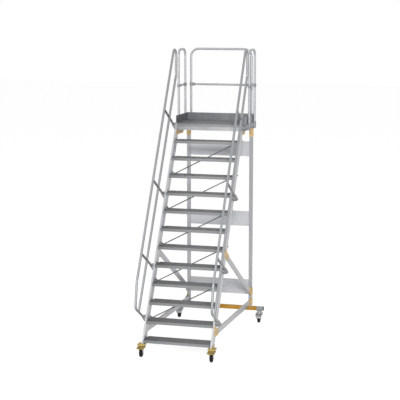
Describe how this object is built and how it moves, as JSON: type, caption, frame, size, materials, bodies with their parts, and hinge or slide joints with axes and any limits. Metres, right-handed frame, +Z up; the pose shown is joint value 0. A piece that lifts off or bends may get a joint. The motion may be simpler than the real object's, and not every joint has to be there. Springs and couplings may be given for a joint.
{
  "type": "mobile platform stairs",
  "caption": "Wheeled aluminium stairs with ribbed treads, handrails and a guarded working platform on a braced rear frame with swivel casters.",
  "frame": {"origin": "on the floor, in the middle of the stairs' width and overall length", "axes": "+Z up; +Y backwards, the way a person climbs; +X to the right of a person who stands in front of the stairs"},
  "size_m": [1.412, 2.5894, 4.2215],
  "materials": {
    "ribbed_aluminium": "ribbed extruded aluminium, mill finish",
    "rail_tube": "bent round aluminium tube, satin",
    "aluminium_section": "extruded and folded aluminium, satin",
    "cast_aluminium": "pressure-cast aluminium, matt",
    "gold_zinc_steel": "zinc-plated steel with a gold passivated sheen",
    "bright_zinc_steel": "bright zinc-plated steel",
    "black_rubber": "black solid rubber on a black plastic centre",
    "black_plastic": "black moulded plastic"
  },
  "bodies": {
    "stairs": {"base_tube_left": "aluminium_section", "base_tube_right": "aluminium_section", "brace_clamps": "gold_zinc_steel", "caster_plates": "bright_zinc_steel", "cross_beam": "gold_zinc_steel", "cross_beam_caps": "black_plastic", "cross_beam_ends": "bright_zinc_steel", "cross_panels": "aluminium_section", "foot_brackets": "gold_zinc_steel", "handrail_left": "rail_tube", "handrail_right": "rail_tube", "knee_rail_left": "rail_tube", "knee_rail_right": "rail_tube", "platform_deck": "ribbed_aluminium", "platform_frame": "aluminium_section", "platform_gussets": "gold_zinc_steel", "platform_railing_left": "rail_tube", "platform_railing_rear": "rail_tube", "platform_railing_right": "rail_tube", "post_sleeves": "gold_zinc_steel", "rail_posts_left": "rail_tube", "rail_posts_right": "rail_tube", "rail_sleeves": "cast_aluminium", "railing_joints": "cast_aluminium", "railing_sleeves": "cast_aluminium", "rear_post_left": "aluminium_section", "rear_post_right": "aluminium_section", "side_brace_left": "aluminium_section", "side_brace_right": "aluminium_section", "stringer_left": "aluminium_section", "stringer_right": "aluminium_section", "tie_rods": "bright_zinc_steel", "toe_boards": "aluminium_section", "tread_01": "ribbed_aluminium", "tread_02": "ribbed_aluminium", "tread_03": "ribbed_aluminium", "tread_04": "ribbed_aluminium", "tread_05": "ribbed_aluminium", "tread_06": "ribbed_aluminium", "tread_07": "ribbed_aluminium", "tread_08": "ribbed_aluminium", "tread_09": "ribbed_aluminium", "tread_10": "ribbed_aluminium", "tread_11": "ribbed_aluminium", "tread_12": "ribbed_aluminium", "tread_caps": "black_plastic"},
    "swivel_front_left": {"brake_pedal_front_left": "gold_zinc_steel", "caster_axle_front_left": "bright_zinc_steel", "caster_fork_front_left": "bright_zinc_steel"},
    "wheel_front_left": {"caster_wheel_front_left": "black_rubber"},
    "swivel_front_right": {"brake_pedal_front_right": "gold_zinc_steel", "caster_axle_front_right": "bright_zinc_steel", "caster_fork_front_right": "bright_zinc_steel"},
    "wheel_front_right": {"caster_wheel_front_right": "black_rubber"},
    "swivel_rear_left": {"caster_axle_rear_left": "bright_zinc_steel", "caster_fork_rear_left": "bright_zinc_steel"},
    "wheel_rear_left": {"caster_wheel_rear_left": "black_rubber"},
    "swivel_rear_right": {"caster_axle_rear_right": "bright_zinc_steel", "caster_fork_rear_right": "bright_zinc_steel"},
    "wheel_rear_right": {"caster_wheel_rear_right": "black_rubber"}
  },
  "joints": [
    {"name": "swivel_front_left_turn", "type": "hinge", "parent": "stairs", "child": "swivel_front_left", "pos_m": [-0.508, -1.1185, 0.16], "axis": [0, 0, 1], "continuous": true},
    {"name": "wheel_front_left_spin", "type": "hinge", "parent": "swivel_front_left", "child": "wheel_front_left", "pos_m": [-0.508, -1.1535, 0.0625], "axis": [1, 0, 0], "continuous": true},
    {"name": "swivel_front_right_turn", "type": "hinge", "parent": "stairs", "child": "swivel_front_right", "pos_m": [0.508, -1.1185, 0.16], "axis": [0, 0, 1], "continuous": true},
    {"name": "wheel_front_right_spin", "type": "hinge", "parent": "swivel_front_right", "child": "wheel_front_right", "pos_m": [0.508, -1.1535, 0.0625], "axis": [1, 0, 0], "continuous": true},
    {"name": "swivel_rear_left_turn", "type": "hinge", "parent": "stairs", "child": "swivel_rear_left", "pos_m": [-0.641, 1.20827, 0.16], "axis": [0, 0, 1], "continuous": true},
    {"name": "wheel_rear_left_spin", "type": "hinge", "parent": "swivel_rear_left", "child": "wheel_rear_left", "pos_m": [-0.641, 1.17327, 0.0625], "axis": [1, 0, 0], "continuous": true},
    {"name": "swivel_rear_right_turn", "type": "hinge", "parent": "stairs", "child": "swivel_rear_right", "pos_m": [0.641, 1.20827, 0.16], "axis": [0, 0, 1], "continuous": true},
    {"name": "wheel_rear_right_spin", "type": "hinge", "parent": "swivel_rear_right", "child": "wheel_rear_right", "pos_m": [0.641, 1.17327, 0.0625], "axis": [1, 0, 0], "continuous": true}
  ]
}
